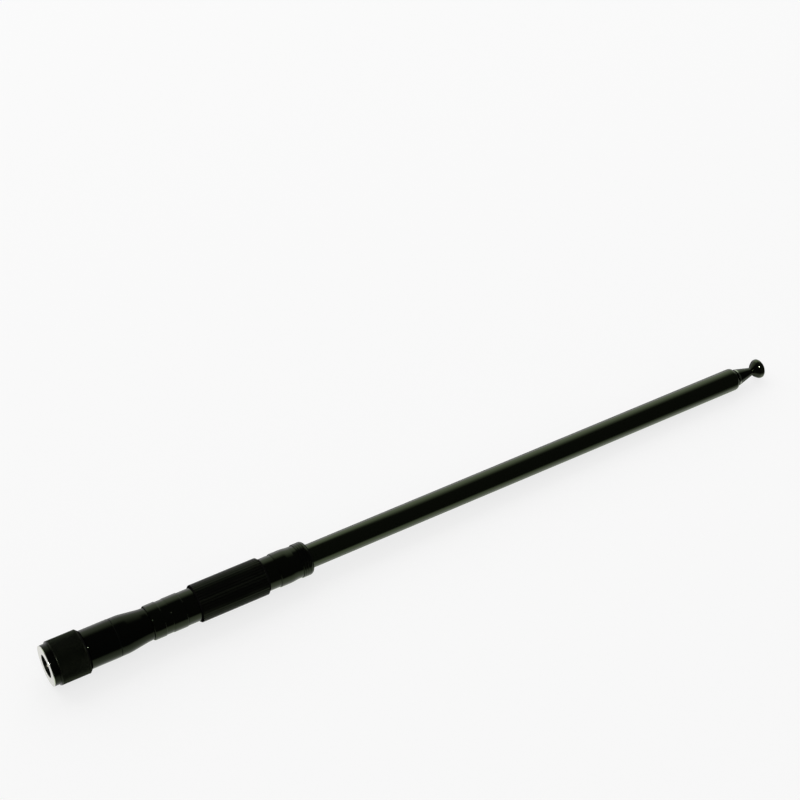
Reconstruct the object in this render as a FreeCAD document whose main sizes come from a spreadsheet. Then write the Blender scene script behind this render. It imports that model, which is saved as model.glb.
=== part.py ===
import FreeCAD
import Part
import Sketcher

import math
import os
import re

# Telescopic antenna with a coaxial screw connector, lying along X.
# The origin is the centre of the connector's bright mating face, and +X runs to the tip.
# All sizes are in millimetres.

doc = FreeCAD.newDocument("telescopic_antenna")

SIZES = {
    # gaps
    "fit_gap": 0.03,
    "running_gap": 0.06,
    "slide_gap": 0.05,
    "stop_gap": 0.3,
    "coupling_gap": 0.15,
    # threaded insert
    "thread_radius": 3.175,
    "thread_length": 6.2,
    "insert_flange": 0.2,
    "insert_radius": 4.5,
    "insert_inset": 0.2,
    # coupling sleeve
    "nose_radius": 5.9,
    "nose_length": 1.6,
    "sleeve_radius": 6.4,
    "sleeve_length": 9.2,
    "sleeve_front_bevel": 0.35,
    "sleeve_rear_bevel": 0.55,
    # plug
    "reference_depth": 2.2,
    "conductor_radius": 2.3,
    "dielectric_radius": 2.05,
    "pin_radius": 0.46,
    "pin_stem_radius": 0.65,
    "pin_tip_depth": 0.35,
    "pin_nose": 0.4,
    "shank_start": 4.4,
    "shank_radius": 2.66,
    "shank_groove_depth": 0.3,
    "retaining_ring_width": 0.65,
    "retaining_ring_radius": 3.1,
    "retaining_ring_slit": 40,
    "plug_flange_radius": 4.4,
    "plug_flange_length": 2.4,
    # housing
    "housing_radius": 5.575,
    "housing_length": 19.05,
    "housing_bevel": 0.25,
    "taper_start": 11.5,
    "taper_end": 18.0,
    "housing_end_radius": 4.6,
    "rear_wall": 4.7,
    # coil
    "coil_play": 0.1,
    # mast foot
    "stud_radius": 1,
    "stud_length": 3.4,
    "pin_tail_length": 3.0,
    "foot_radius": 2.5,
    "foot_flange_play": 0.1,
    "foot_flange_length": 3.0,
    "spigot_length": 4.0,
    # lower collar
    "collar_radius": 5.05,
    "collar_length": 10.1,
    "collar_bevel": 0.2,
    "band_start": 3.4,
    "band_end": 5.7,
    "band_radius": 4.89,
    "collar_rear_radius": 5.01,
    # grip sleeve
    "front_neck_radius": 4.86,
    "front_neck_length": 3.85,
    "front_wall": 3.7,
    "grip_length": 21.45,
    "grip_front_bevel": 0.35,
    "grip_rear_bevel": 0.7,
    "grip_step": 0.725,
    "rear_neck_wall": 0.8,
    "rear_neck_length": 3.5,
    "spline_count": 40,
    "spline_depth": 0.32,
    "spline_angle": 80,
    # upper collar and bush
    "bush_wall": 0.5,
    "bush_reach": 3.0,
    "upper_wall": 1.2,
    "upper_step": 0.27,
    "upper_length": 7.1,
    "upper_barrel": 3.5,
    "upper_taper": 2.4,
    # end ring
    "ring_wall": 1.45,
    "ring_length": 3.5,
    "ring_round": 0.8,
    "ring_round_depth": 0.25,
    # mast tubes
    "tube_radius": 3.5,
    "tube_step": 0.55,
    "tube_wall": 0.25,
    "tube_rise": 0.3,
    "last_rise": 0.25,
    "tube_end": 231.65,
    "foot_rise": 6.0,
    "mouth_length": 1.1,
    "mouth_roll": 0.42,
    "neck_depth": 0.12,
    "lip_length": 0.5,
    "spring_length": 4.8,
    "spring_play": 0.1,
    "spring_slit": 50,
    # tip cap
    "cap_gap": 0.6,
    "cap_shank_length": 6,
    "cap_base_radius": 2.6,
    "cap_cone_length": 4.4,
    "cap_base_rim": 0.4,
    "cap_neck_radius": 1.2,
    "cap_button_radius": 3.06,
    "cap_flare_length": 2.4,
    "cap_rim": 0.7,
    "cap_dome_height": 1.4,
}

# Places along the axis and sizes that follow from the driving ones
PLACES = {
    "sleeve_end": "insert_flange + nose_length + sleeve_length",
    "insert_length": "sleeve_end - insert_inset",
    "sleeve_bore": "insert_radius + fit_gap",
    "nut_bore": "shank_radius + running_gap",
    "retaining_ring_start": "thread_length - running_gap - retaining_ring_width",
    "shank_groove_radius": "shank_radius - shank_groove_depth",
    "housing_start": "sleeve_end + coupling_gap",
    "plug_end": "housing_start + plug_flange_length",
    "housing_bore": "plug_flange_radius + fit_gap",
    "housing_end": "housing_start + housing_length",
    "rear_wall_start": "housing_end - rear_wall",
    "foot_bore": "foot_radius + fit_gap",
    "stud_bore": "stud_radius + fit_gap",
    "coil_start": "plug_end + coil_play",
    "coil_end": "rear_wall_start - coil_play",
    "collar_end": "housing_end + collar_length",
    "grip_start": "collar_end",
    "splines_start": "front_neck_length",
    "splines_end": "splines_start + grip_length",
    "grip_total": "splines_end + rear_neck_length",
    "foot_flange_start": "grip_start + front_wall",
    "mast_start": "foot_flange_start + foot_flange_length",
    "foot_end": "mast_start + spigot_length",
    "upper_start": "grip_start + grip_total",
    "upper_end": "upper_start + upper_length",
    "bush_end": "upper_start + bush_reach",
    "tube_bore": "tube_radius - tube_wall",
    "outer_bore": "tube_radius + slide_gap",
    "grip_bore_radius": "tube_radius + bush_wall",
    "foot_flange_radius": "grip_bore_radius - foot_flange_play",
    "rear_neck_radius": "grip_bore_radius + rear_neck_wall",
    "grip_radius": "rear_neck_radius + grip_step",
    "upper_rear_radius": "outer_bore + upper_wall",
    "upper_radius": "upper_rear_radius + upper_step",
    "ring_radius": "outer_bore + ring_wall",
    "foot_length": "lip_length + 2 * spring_play + spring_length",
    "first_foot": "foot_end + stop_gap",
    "tubes_end": "tube_end + 2 * tube_rise + last_rise",
    "cap_start": "tubes_end + cap_gap",
    "cap_rim_start": "cap_cone_length + cap_flare_length",
    "cap_dome_start": "cap_rim_start + cap_rim",
    "cap_length": "cap_dome_start + cap_dome_height",
    "cap_dome_radius": "(cap_button_radius ^ 2 + cap_dome_height ^ 2) / (2 * cap_dome_height)",
}

TUBE_COUNT = 5

owners = {name: "Sizes" for name in SIZES}
owners.update({name: "Places" for name in PLACES})


def linked(expression):
    """Gives an expression with each named size led by its sheet."""
    return re.sub(
        r"[a-z_]+",
        lambda word: f"{owners[word.group()]}.{word.group()}" if word.group() in owners else word.group(),
        expression,
    )


def fill_sheet(name, rows):
    sheet = doc.addObject("Spreadsheet::Sheet", name)
    for row, (alias, content) in enumerate(rows.items(), start=1):
        sheet.set(f"A{row}", alias)
        sheet.set(f"B{row}", content)
        sheet.setAlias(f"B{row}", alias)
    return sheet


sizes = fill_sheet("Sizes", {name: str(value) for name, value in SIZES.items()})
doc.recompute()
places = fill_sheet("Places", {name: "=" + linked(text) for name, text in PLACES.items()})
doc.recompute()


def value(expression):
    return sizes.evalExpression(linked(expression))


def new_body(label, start):
    """Starts a sub-part whose own zero lies at the place start on the axis."""
    body = doc.addObject("PartDesign::Body", label)
    body.Label = label
    body.setExpression("Placement.Base.x", linked(start))
    return body


def new_sketch(body, name, role):
    sketch = body.newObject("Sketcher::SketchObject", name)
    plane = next(f for f in body.Origin.OriginFeatures if f.Role == role)
    sketch.AttachmentSupport = [(plane, "")]
    sketch.MapMode = "FlatFace"
    return sketch


def arc_between(first, last, radius):
    """An arc from first to last. A positive radius bulges to the left of the way from first to last."""
    chord = last - first
    middle = (first + last) * 0.5
    side = FreeCAD.Vector(-chord.y, chord.x, 0).normalize()
    reach = math.sqrt(radius**2 - (chord.Length / 2) ** 2)
    centre = middle - side * math.copysign(reach, radius)
    crown = centre + side * radius
    return Part.Arc(first, crown, last)


def dimension(sketch, kind, geometry, end, expression):
    """Ties one coordinate of a sketch point to an expression."""
    number = value(expression)
    axis = {"DistanceX": -2, "DistanceY": -1}[kind]
    if abs(number) < 1e-9:
        sketch.addConstraint(Sketcher.Constraint("PointOnObject", geometry, end, axis))
        return
    index = sketch.addConstraint(Sketcher.Constraint(kind, -1, 1, geometry, end, number))
    sketch.setExpression(f"Constraints[{index}]", linked(expression))


def draw_outline(sketch, outline):
    """Draws a closed outline. Each corner is (x, y) or (x, y, radius of the arc to the next corner)."""
    points = [FreeCAD.Vector(value(corner[0]), value(corner[1]), 0) for corner in outline]
    ends = []
    for index, corner in enumerate(outline):
        first, last = points[index], points[(index + 1) % len(points)]
        if len(corner) == 2:
            geometry = sketch.addGeometry(Part.LineSegment(first, last))
            ends.append((geometry, 1, 2))
            continue
        radius = value(corner[2])
        geometry = sketch.addGeometry(arc_between(first, last, radius))
        along = (1, 2) if sketch.getPoint(geometry, 1).isEqual(first, 1e-6) else (2, 1)
        ends.append((geometry, *along))
    for index, (geometry, start, _) in enumerate(ends):
        before, _, before_end = ends[index - 1]
        sketch.addConstraint(Sketcher.Constraint("Coincident", before, before_end, geometry, start))
        dimension(sketch, "DistanceX", geometry, start, outline[index][0])
        dimension(sketch, "DistanceY", geometry, start, outline[index][1])
    for (geometry, _, _), corner in zip(ends, outline):
        if len(corner) == 3:
            index = sketch.addConstraint(Sketcher.Constraint("Radius", geometry, abs(value(corner[2]))))
            sketch.setExpression(f"Constraints[{index}]", f"abs({linked(corner[2])})")


def turned(label, start, outline, sweep="360"):
    """A piece turned about the X axis from an outline of (place along the axis, radius) corners."""
    body = new_body(label, start)
    profile = new_sketch(body, label + "_profile", "XZ_Plane")
    draw_outline(profile, outline)
    turn = body.newObject("PartDesign::Revolution", label + "_turn")
    turn.Profile = profile
    turn.ReferenceAxis = (profile, ["H_Axis"])
    turn.setExpression("Angle", linked(sweep))
    profile.Visibility = False
    doc.recompute()
    return body


def plain_tube(label, start, length, inner, outer):
    return turned(label, start, [("0", inner), ("0", outer), (length, outer), (length, inner)])


# Threaded insert: the bright face, the thread's wall and the bore that turns on the plug
turned(
    "threaded_insert",
    "0",
    [
        ("0", "thread_radius"),
        ("0", "nose_radius"),
        ("insert_flange", "nose_radius"),
        ("insert_flange", "insert_radius"),
        ("insert_length", "insert_radius"),
        ("insert_length", "nut_bore"),
        ("thread_length", "nut_bore"),
        ("thread_length", "thread_radius"),
    ],
)

# Coupling sleeve: a short nose, then the wide part that the fingers turn
turned(
    "coupling_sleeve",
    "insert_flange",
    [
        ("0", "sleeve_bore"),
        ("0", "nose_radius"),
        ("nose_length", "nose_radius"),
        ("nose_length", "sleeve_radius - sleeve_front_bevel"),
        ("nose_length + sleeve_front_bevel", "sleeve_radius"),
        ("nose_length + sleeve_length - sleeve_rear_bevel", "sleeve_radius"),
        ("nose_length + sleeve_length", "sleeve_radius - sleeve_rear_bevel"),
        ("nose_length + sleeve_length", "sleeve_bore"),
    ],
)

# Retaining ring: split, in the plug's groove and in front of the insert's shoulder
turned(
    "retaining_ring",
    "retaining_ring_start",
    [
        ("0", "shank_groove_radius + fit_gap"),
        ("0", "retaining_ring_radius"),
        ("retaining_ring_width", "retaining_ring_radius"),
        ("retaining_ring_width", "shank_groove_radius + fit_gap"),
    ],
    "360 - retaining_ring_slit",
)

# Plug: the outer conductor with its shank and flange, the insulator and the pin
groove_start = "retaining_ring_start - fit_gap - reference_depth"
groove_end = "retaining_ring_start + retaining_ring_width + fit_gap - reference_depth"
turned(
    "plug_body",
    "reference_depth",
    [
        ("0", "dielectric_radius + fit_gap"),
        ("0", "conductor_radius"),
        ("shank_start - reference_depth", "conductor_radius"),
        ("shank_start - reference_depth", "shank_radius"),
        (groove_start, "shank_radius"),
        (groove_start, "shank_groove_radius"),
        (groove_end, "shank_groove_radius"),
        (groove_end, "shank_radius"),
        ("housing_start - reference_depth", "shank_radius"),
        ("housing_start - reference_depth", "plug_flange_radius"),
        ("plug_end - reference_depth", "plug_flange_radius"),
        ("plug_end - reference_depth", "dielectric_radius + fit_gap"),
    ],
)
plain_tube(
    "dielectric",
    "reference_depth",
    "plug_end - reference_depth",
    "pin_stem_radius + fit_gap",
    "dielectric_radius",
)
turned(
    "centre_pin",
    "pin_tip_depth",
    [
        ("0", "0"),
        ("0", "pin_radius / 2"),
        ("pin_nose", "pin_radius"),
        ("reference_depth - pin_tip_depth", "pin_radius"),
        ("reference_depth - pin_tip_depth", "pin_stem_radius"),
        ("coil_start - pin_tip_depth", "pin_stem_radius"),
        ("coil_start - pin_tip_depth", "stud_radius"),
        ("coil_start - pin_tip_depth + pin_tail_length", "stud_radius"),
        ("coil_start - pin_tip_depth + pin_tail_length", "0"),
    ],
)

# Housing: a straight barrel, a taper and a short plain end
turned(
    "housing",
    "housing_start",
    [
        ("0", "housing_bore"),
        ("0", "housing_radius - housing_bevel"),
        ("housing_bevel", "housing_radius"),
        ("taper_start", "housing_radius"),
        ("taper_end", "housing_end_radius"),
        ("housing_length", "housing_end_radius"),
        ("housing_length", "foot_bore"),
        ("housing_length - rear_wall", "foot_bore"),
        ("housing_length - rear_wall", "housing_bore"),
    ],
)
# Matching coil: wound and potted, between the pin's tail and the stud of the mast foot
plain_tube("matching_coil", "coil_start", "coil_end - coil_start", "stud_bore", "housing_bore - fit_gap")

# Mast foot: the stud in the coil, the shank through the base, and the spigot in the outer tube
turned(
    "mast_foot",
    "rear_wall_start - stud_length",
    [
        ("0", "0"),
        ("0", "stud_radius"),
        ("stud_length", "stud_radius"),
        ("stud_length", "foot_radius"),
        ("stud_length + foot_flange_start - rear_wall_start", "foot_radius"),
        ("stud_length + foot_flange_start - rear_wall_start", "foot_flange_radius"),
        ("stud_length + mast_start - rear_wall_start", "foot_flange_radius"),
        ("stud_length + mast_start - rear_wall_start", "tube_bore - fit_gap"),
        ("stud_length + foot_end - rear_wall_start", "tube_bore - fit_gap"),
        ("stud_length + foot_end - rear_wall_start", "0"),
    ],
)

# Lower collar: two rings with a shallow band between them
turned(
    "lower_collar",
    "housing_end",
    [
        ("0", "foot_bore"),
        ("0", "collar_radius"),
        ("band_start", "collar_radius"),
        ("band_start + collar_bevel", "band_radius"),
        ("band_end", "band_radius"),
        ("band_end + collar_bevel", "collar_rear_radius"),
        ("collar_length", "collar_rear_radius"),
        ("collar_length", "foot_bore"),
    ],
)

# Grip sleeve: straight splines between two plain necks
grip = turned(
    "grip_sleeve",
    "grip_start",
    [
        ("0", "foot_bore"),
        ("0", "front_neck_radius"),
        ("splines_start", "front_neck_radius"),
        ("splines_start", "grip_radius - grip_front_bevel"),
        ("splines_start + grip_front_bevel", "grip_radius"),
        ("splines_end - grip_rear_bevel", "grip_radius"),
        ("splines_end", "grip_radius - grip_rear_bevel"),
        ("splines_end", "rear_neck_radius"),
        ("grip_total", "rear_neck_radius"),
        ("grip_total", "grip_bore_radius"),
        ("front_wall", "grip_bore_radius"),
        ("front_wall", "foot_bore"),
    ],
)
valley = new_sketch(grip, "spline_valley", "YZ_Plane")
draw_outline(
    valley,
    [
        ("0", "grip_radius - spline_depth"),
        ("2 * spline_depth * tan(spline_angle / 2 * 1deg)", "grip_radius + spline_depth"),
        ("-2 * spline_depth * tan(spline_angle / 2 * 1deg)", "grip_radius + spline_depth"),
    ],
)
doc.recompute()
solid_volume = grip.Tip.Shape.Volume
cut = grip.newObject("PartDesign::Pocket", "spline_cut")
cut.Profile = valley
cut.Type = "ThroughAll"
cut.Midplane = True
doc.recompute()
valley_volume = solid_volume - cut.Shape.Volume
if valley_volume <= 0:
    raise RuntimeError("the spline cut removes nothing")
splines = grip.newObject("PartDesign::PolarPattern", "splines")
splines.Originals = [cut]
splines.Axis = (valley, ["N_Axis"])
splines.setExpression("Occurrences", linked("spline_count"))
splines.Angle = 360
grip.Tip = splines

# Mast bush: the insulating tube between the mast and the grip
plain_tube(
    "mast_bush",
    "mast_start + fit_gap",
    "bush_end - mast_start - fit_gap",
    "tube_radius + fit_gap",
    "grip_bore_radius - fit_gap",
)

# Upper collar and the end ring behind it
turned(
    "upper_collar",
    "upper_start",
    [
        ("0", "grip_bore_radius"),
        ("0", "upper_radius"),
        ("upper_barrel", "upper_radius"),
        ("upper_barrel + upper_taper", "upper_rear_radius"),
        ("upper_length", "upper_rear_radius"),
        ("upper_length", "outer_bore"),
        ("bush_reach + fit_gap", "outer_bore"),
        ("bush_reach + fit_gap", "grip_bore_radius"),
    ],
)
turned(
    "end_ring",
    "upper_end",
    [
        ("0", "outer_bore"),
        ("0", "ring_radius"),
        ("ring_length - ring_round", "ring_radius"),
        ("ring_length - ring_round_depth", "ring_radius - ring_round_depth"),
        ("ring_length", "ring_radius - ring_round"),
        ("ring_length", "outer_bore"),
    ],
)


# Mast: each tube is one step smaller than the one round it and starts one foot further up
def tube_start(number):
    return "mast_start" if number == 1 else f"first_foot + {number - 2} * foot_rise"


def tube_top(number):
    if number < TUBE_COUNT - 1:
        return f"tube_end + {number - 1} * tube_rise"
    return "tubes_end" if number == TUBE_COUNT - 1 else "cap_start"


def mast_tube(number):
    """A drawn tube: rolled in at its mouth, save the last one, and necked at its foot, save the first."""
    start = tube_start(number)
    length = f"({tube_top(number)} - ({start}))"
    outer = f"tube_radius - {number - 1} * tube_step"
    inner = f"{outer} - tube_wall"
    if number == 1:
        foot = [("0", inner), ("0", outer)]
    else:
        foot = [
            ("0", inner),
            ("0", outer),
            ("lip_length", outer),
            ("lip_length", f"{outer} - neck_depth"),
            ("foot_length", f"{outer} - neck_depth"),
            ("foot_length", outer),
        ]
    if number == TUBE_COUNT:
        mouth = [(length, outer), (length, inner)]
    else:
        lip = f"{outer} - tube_step + slide_gap"
        mouth = [
            (f"{length} - mouth_length", outer),
            (length, f"{outer} - mouth_roll"),
            (length, lip),
            (f"{length} - mouth_length", lip),
            (f"{length} - mouth_length", inner),
        ]
    return turned(f"mast_tube_{number}", start, foot + mouth)


def slide_spring(number):
    """A split sleeve in the neck at the foot of a tube. It rubs in the tube outside it."""
    neck = f"tube_radius - {number - 1} * tube_step - neck_depth + fit_gap"
    outer = f"tube_bore - {number - 2} * tube_step - fit_gap"
    return turned(
        f"slide_spring_{number - 1}",
        f"{tube_start(number)} + lip_length + spring_play",
        [
            ("0", neck),
            ("0", outer),
            ("spring_length", outer),
            ("spring_length", neck),
        ],
        "360 - spring_slit",
    )


for number in range(1, TUBE_COUNT + 1):
    mast_tube(number)
for number in range(2, TUBE_COUNT + 1):
    slide_spring(number)

# Tip cap: a shank in the last tube, a cone, and a domed button
shank = f"tube_bore - {TUBE_COUNT - 1} * tube_step - fit_gap"
turned(
    "tip_cap",
    "cap_start",
    [
        ("-cap_shank_length", "0"),
        ("-cap_shank_length", shank),
        ("0", shank),
        ("0", "cap_base_radius"),
        ("cap_base_rim", "cap_base_radius"),
        ("cap_cone_length", "cap_neck_radius"),
        ("cap_rim_start", "cap_button_radius"),
        ("cap_dome_start", "cap_button_radius", "cap_dome_radius"),
        ("cap_length", "0"),
    ],
)

doc.recompute()

bodies = [item for item in doc.Objects if item.TypeId == "PartDesign::Body"]
faults = [item.Name for item in doc.Objects if "Invalid" in item.State or "Error" in item.State]
faults += [body.Label for body in bodies if body.Shape.isNull() or not body.Shape.isValid()]
faults += [body.Label for body in bodies if len(body.Shape.Solids) != 1]
if faults:
    raise RuntimeError("these came out wrong: " + ", ".join(faults))

os.makedirs("parts", exist_ok=True)
for body in bodies:
    body.Shape.exportStep(f"parts/{body.Label}.step")
    box = body.Shape.BoundBox
    print(f"{body.Label:18s} x {box.XMin:7.2f} to {box.XMax:7.2f}  volume {body.Shape.Volume:8.2f} mm3")
print(len(bodies), "sub-parts written")
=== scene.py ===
import math
import bpy
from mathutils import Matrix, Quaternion, Vector


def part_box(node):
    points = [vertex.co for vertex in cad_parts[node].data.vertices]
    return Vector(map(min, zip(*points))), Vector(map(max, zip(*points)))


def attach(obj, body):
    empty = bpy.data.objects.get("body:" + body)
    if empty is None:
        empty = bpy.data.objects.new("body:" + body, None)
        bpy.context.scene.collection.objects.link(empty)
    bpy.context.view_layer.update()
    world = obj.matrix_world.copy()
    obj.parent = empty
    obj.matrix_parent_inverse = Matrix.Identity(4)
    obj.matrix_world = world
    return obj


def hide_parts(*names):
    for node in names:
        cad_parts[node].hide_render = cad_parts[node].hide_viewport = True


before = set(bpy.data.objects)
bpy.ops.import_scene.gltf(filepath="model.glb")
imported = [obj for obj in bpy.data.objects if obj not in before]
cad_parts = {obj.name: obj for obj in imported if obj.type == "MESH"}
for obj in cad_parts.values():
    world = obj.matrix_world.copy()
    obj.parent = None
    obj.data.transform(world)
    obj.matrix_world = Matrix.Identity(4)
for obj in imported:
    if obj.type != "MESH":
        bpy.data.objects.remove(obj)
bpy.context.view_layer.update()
print("frame loaded:", len(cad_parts), "nodes")

mm = 0.001  # sizes below are in millimetres, save in the studio
hairsBreadth = 0.01  # closer than this counts as on a surface

# camera at the photograph's place and angle
camera = {
    "place": (-87.11, -343.38, 402.68),
    "azimuth": -29.905,
    "elevation": 42.0,
    "roll": -0.38,
    "lens": 87.5,
    "sensor": 36,
    "clip": (0.01, 60),
}


def placeCamera():
    turn, rise = math.radians(camera["azimuth"]), math.radians(camera["elevation"])
    flat = math.cos(rise)
    back = Vector((math.sin(turn) * flat, -math.cos(turn) * flat, math.sin(rise)))
    roll = Quaternion((0, 0, 1), math.radians(camera["roll"]))
    bpy.ops.object.camera_add()
    made = bpy.context.object
    made.name = "photoCamera"
    made.location = Vector(camera["place"]) * mm
    made.rotation_euler = ((-back).to_track_quat("-Z", "Y") @ roll).to_euler()
    made.data.lens = camera["lens"]
    made.data.sensor_width = camera["sensor"]
    made.data.clip_start, made.data.clip_end = camera["clip"]
    bpy.context.scene.camera = made


placeCamera()
bpy.context.scene.view_settings.view_transform = "Standard"


def addNode(tree, kind, place, **values):
    node = tree.nodes.new(kind)
    node.location = place
    for key, value in values.items():
        setattr(node, key, value)
    return node


def link(tree, source, target):
    tree.links.new(source, target)


def newGroup(name, inputs, outputs):
    group = bpy.data.node_groups.new(name, "ShaderNodeTree")
    for label, kind, value in inputs:
        socket = group.interface.new_socket(name=label, in_out="INPUT", socket_type=kind)
        if value is not None:
            socket.default_value = value
    for label, kind in outputs:
        group.interface.new_socket(name=label, in_out="OUTPUT", socket_type=kind)
    given = addNode(group, "NodeGroupInput", (-900, 0))
    out = addNode(group, "NodeGroupOutput", (700, 0))
    return group, given, out


grainNodes = {
    "cloudScale": 140,
    "cloudDetail": 4,
    "cloudRange": (0.35, 0.68),
    "grainDetail": 5,
    "grainRoughness": 0.6,
    "grainDistance": 0.00002,
}


# fine unevenness of a finish: a roughness that drifts and a shallow grain in the normal
def makeFinishGrain():
    group, given, out = newGroup(
        "finishGrain",
        [
            ("Vector", "NodeSocketVector", None),
            ("Grain Size", "NodeSocketFloat", 1500.0),
            ("Smoothest", "NodeSocketFloat", 0.08),
            ("Roughest", "NodeSocketFloat", 0.2),
            ("Grain Height", "NodeSocketFloat", 0.2),
        ],
        [
            ("Roughness", "NodeSocketFloat"),
            ("Shade", "NodeSocketFloat"),
            ("Normal", "NodeSocketVector"),
        ],
    )
    cloud = addNode(group, "ShaderNodeTexNoise", (-600, 220))
    cloud.inputs["Scale"].default_value = grainNodes["cloudScale"]
    cloud.inputs["Detail"].default_value = grainNodes["cloudDetail"]
    grain = addNode(group, "ShaderNodeTexNoise", (-600, -160))
    grain.inputs["Detail"].default_value = grainNodes["grainDetail"]
    grain.inputs["Roughness"].default_value = grainNodes["grainRoughness"]
    spread = addNode(group, "ShaderNodeMapRange", (-200, 220))
    spread.inputs["From Min"].default_value = grainNodes["cloudRange"][0]
    spread.inputs["From Max"].default_value = grainNodes["cloudRange"][1]
    bump = addNode(group, "ShaderNodeBump", (100, -160))
    bump.inputs["Distance"].default_value = grainNodes["grainDistance"]
    link(group, given.outputs["Vector"], cloud.inputs["Vector"])
    link(group, given.outputs["Vector"], grain.inputs["Vector"])
    link(group, given.outputs["Grain Size"], grain.inputs["Scale"])
    link(group, cloud.outputs["Fac"], spread.inputs["Value"])
    link(group, given.outputs["Smoothest"], spread.inputs["To Min"])
    link(group, given.outputs["Roughest"], spread.inputs["To Max"])
    link(group, grain.outputs["Fac"], bump.inputs["Height"])
    link(group, given.outputs["Grain Height"], bump.inputs["Strength"])
    link(group, spread.outputs["Result"], out.inputs["Roughness"])
    link(group, grain.outputs["Fac"], out.inputs["Shade"])
    link(group, bump.outputs["Normal"], out.inputs["Normal"])
    return group


rubNodes = {"patchScale": 420, "patchDetail": 3, "patchRange": (0.45, 0.7)}


# where fingers and tables rub first: convex edges, broken up by a noise
def makeRubbedEdges():
    group, given, out = newGroup(
        "rubbedEdges",
        [
            ("Vector", "NodeSocketVector", None),
            ("Start", "NodeSocketFloat", 0.53),
            ("Full", "NodeSocketFloat", 0.62),
            ("Amount", "NodeSocketFloat", 0.5),
        ],
        [("Mask", "NodeSocketFloat")],
    )
    shape = addNode(group, "ShaderNodeNewGeometry", (-600, 160))
    patch = addNode(group, "ShaderNodeTexNoise", (-600, -160))
    patch.inputs["Scale"].default_value = rubNodes["patchScale"]
    patch.inputs["Detail"].default_value = rubNodes["patchDetail"]
    edge = addNode(group, "ShaderNodeMapRange", (-300, 160))
    broken = addNode(group, "ShaderNodeMapRange", (-300, -160))
    broken.inputs["From Min"].default_value = rubNodes["patchRange"][0]
    broken.inputs["From Max"].default_value = rubNodes["patchRange"][1]
    both = addNode(group, "ShaderNodeMath", (0, 0), operation="MULTIPLY")
    scaled = addNode(group, "ShaderNodeMath", (250, 0), operation="MULTIPLY")
    link(group, given.outputs["Vector"], patch.inputs["Vector"])
    link(group, shape.outputs["Pointiness"], edge.inputs["Value"])
    link(group, given.outputs["Start"], edge.inputs["From Min"])
    link(group, given.outputs["Full"], edge.inputs["From Max"])
    link(group, patch.outputs["Fac"], broken.inputs["Value"])
    link(group, edge.outputs["Result"], both.inputs[0])
    link(group, broken.outputs["Result"], both.inputs[1])
    link(group, both.outputs["Value"], scaled.inputs[0])
    link(group, given.outputs["Amount"], scaled.inputs[1])
    link(group, scaled.outputs["Value"], out.inputs["Mask"])
    return group


finishGrain = makeFinishGrain()
rubbedEdges = makeRubbedEdges()
olive = (0.88, 1.0, 0.66, 1)  # the black coats reflect a little olive
plain = (1, 1, 1, 1)
shadeDrift = 0.2  # how far the grain lightens and darkens a colour

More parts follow.
